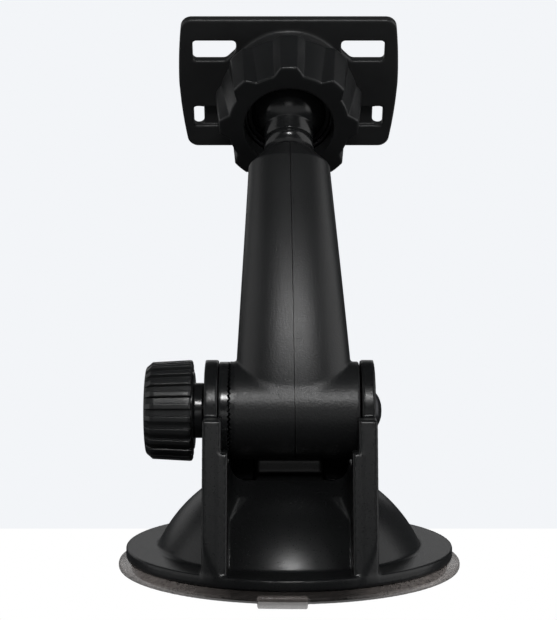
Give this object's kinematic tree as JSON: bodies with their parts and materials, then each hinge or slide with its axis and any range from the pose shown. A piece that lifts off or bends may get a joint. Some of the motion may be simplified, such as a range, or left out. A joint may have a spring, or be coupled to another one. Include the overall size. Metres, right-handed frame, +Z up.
{
  "type": "suction dashboard mount",
  "caption": "Suction-cup dashboard mount with a cam lock, a ratchet-jointed tilting arm, a ball head and a flat claw plate for an in-car device.",
  "frame": {"origin": "centre of the flat underside of the suction pad", "axes": "+Z up away from the surface it sticks to; -Y towards the pull tab and the front of the mount; +Y the way the claw plate faces; X along the arm's pivot, with the knob at -X"},
  "size_m": [0.068, 0.0773, 0.1111],
  "materials": {
    "clear_pad": "clear grey-brown soft plastic, glossy",
    "black_shell": "black moulded plastic, satin",
    "black_arm": "black moulded plastic with a fine grain",
    "collar_black": "black moulded plastic, satin",
    "knob_black": "black moulded plastic, polished ribs",
    "gloss_black": "black moulded plastic, glossy",
    "liner_black": "dark slippery plastic",
    "natural_plastic": "natural white plastic",
    "dark_steel": "blackened steel",
    "spring_steel": "plain steel",
    "brass": "plain brass"
  },
  "bodies": {
    "base": {"base_shell": "black_shell", "suction_pad": "clear_pad", "ratchet_washer": "gloss_black", "pivot_bolt": "dark_steel", "pivot_bush": "natural_plastic", "ratchet_spring": "spring_steel", "stem_spring": "spring_steel"},
    "stem": {"pull_stem": "natural_plastic", "lever_pin": "spring_steel"},
    "lever": {"lock_lever": "black_shell"},
    "arm": {"arm_shell_left": "black_arm", "arm_shell_right": "black_arm", "ball_stud": "gloss_black"},
    "knob": {"clamp_knob": "knob_black", "knob_nut": "brass"},
    "ball_tilt_ring": {"ball_seat_ring": "liner_black"},
    "ball_yaw_cup": {"ball_cup_pad": "liner_black"},
    "head": {"claw_plate": "black_shell"},
    "collar": {"collar_nut": "collar_black"}
  },
  "joints": [
    {"name": "arm_tilt", "type": "hinge", "parent": "base", "child": "arm", "pos_m": [0, -0.008, 0.0318], "axis": [1, 0, 0], "range_deg": [-20, 100]},
    {"name": "knob_turn", "type": "hinge", "parent": "base", "child": "knob", "pos_m": [-0.023, -0.008, 0.0318], "axis": [-1, 0, 0], "range_deg": [0, 720]},
    {"name": "stem_lift", "type": "slide", "parent": "base", "child": "stem", "axis": [0, 0, 1], "range_m": [0, 0.0024], "deforming": ["stem_spring"]},
    {"name": "lever_swing", "type": "hinge", "parent": "stem", "child": "lever", "pos_m": [0, 0, 0.0168], "axis": [1, 0, 0], "range_deg": [-55, 0]},
    {"name": "ball_tilt", "type": "hinge", "parent": "arm", "child": "ball_tilt_ring", "pos_m": [0, 0.02153, 0.09262], "axis": [1, 0, 0], "range_deg": [0, 40]},
    {"name": "ball_yaw", "type": "hinge", "parent": "ball_tilt_ring", "child": "ball_yaw_cup", "pos_m": [0, 0.02153, 0.09262], "axis": [0, -0.5807, 0.8141], "range_deg": [-6, 6]},
    {"name": "ball_roll", "type": "hinge", "parent": "ball_yaw_cup", "child": "head", "pos_m": [0, 0.02153, 0.09262], "axis": [0, 0.8141, 0.5807], "continuous": true},
    {"name": "collar_turn", "type": "hinge", "parent": "head", "child": "collar", "pos_m": [0, 0.02153, 0.09262], "axis": [0, 0.8141, 0.5807], "range_deg": [0, 540]}
  ],
  "couplings": [
    {"joint": "stem_lift", "follows": "lever_swing", "m_per_rad": -0.0025}
  ]
}
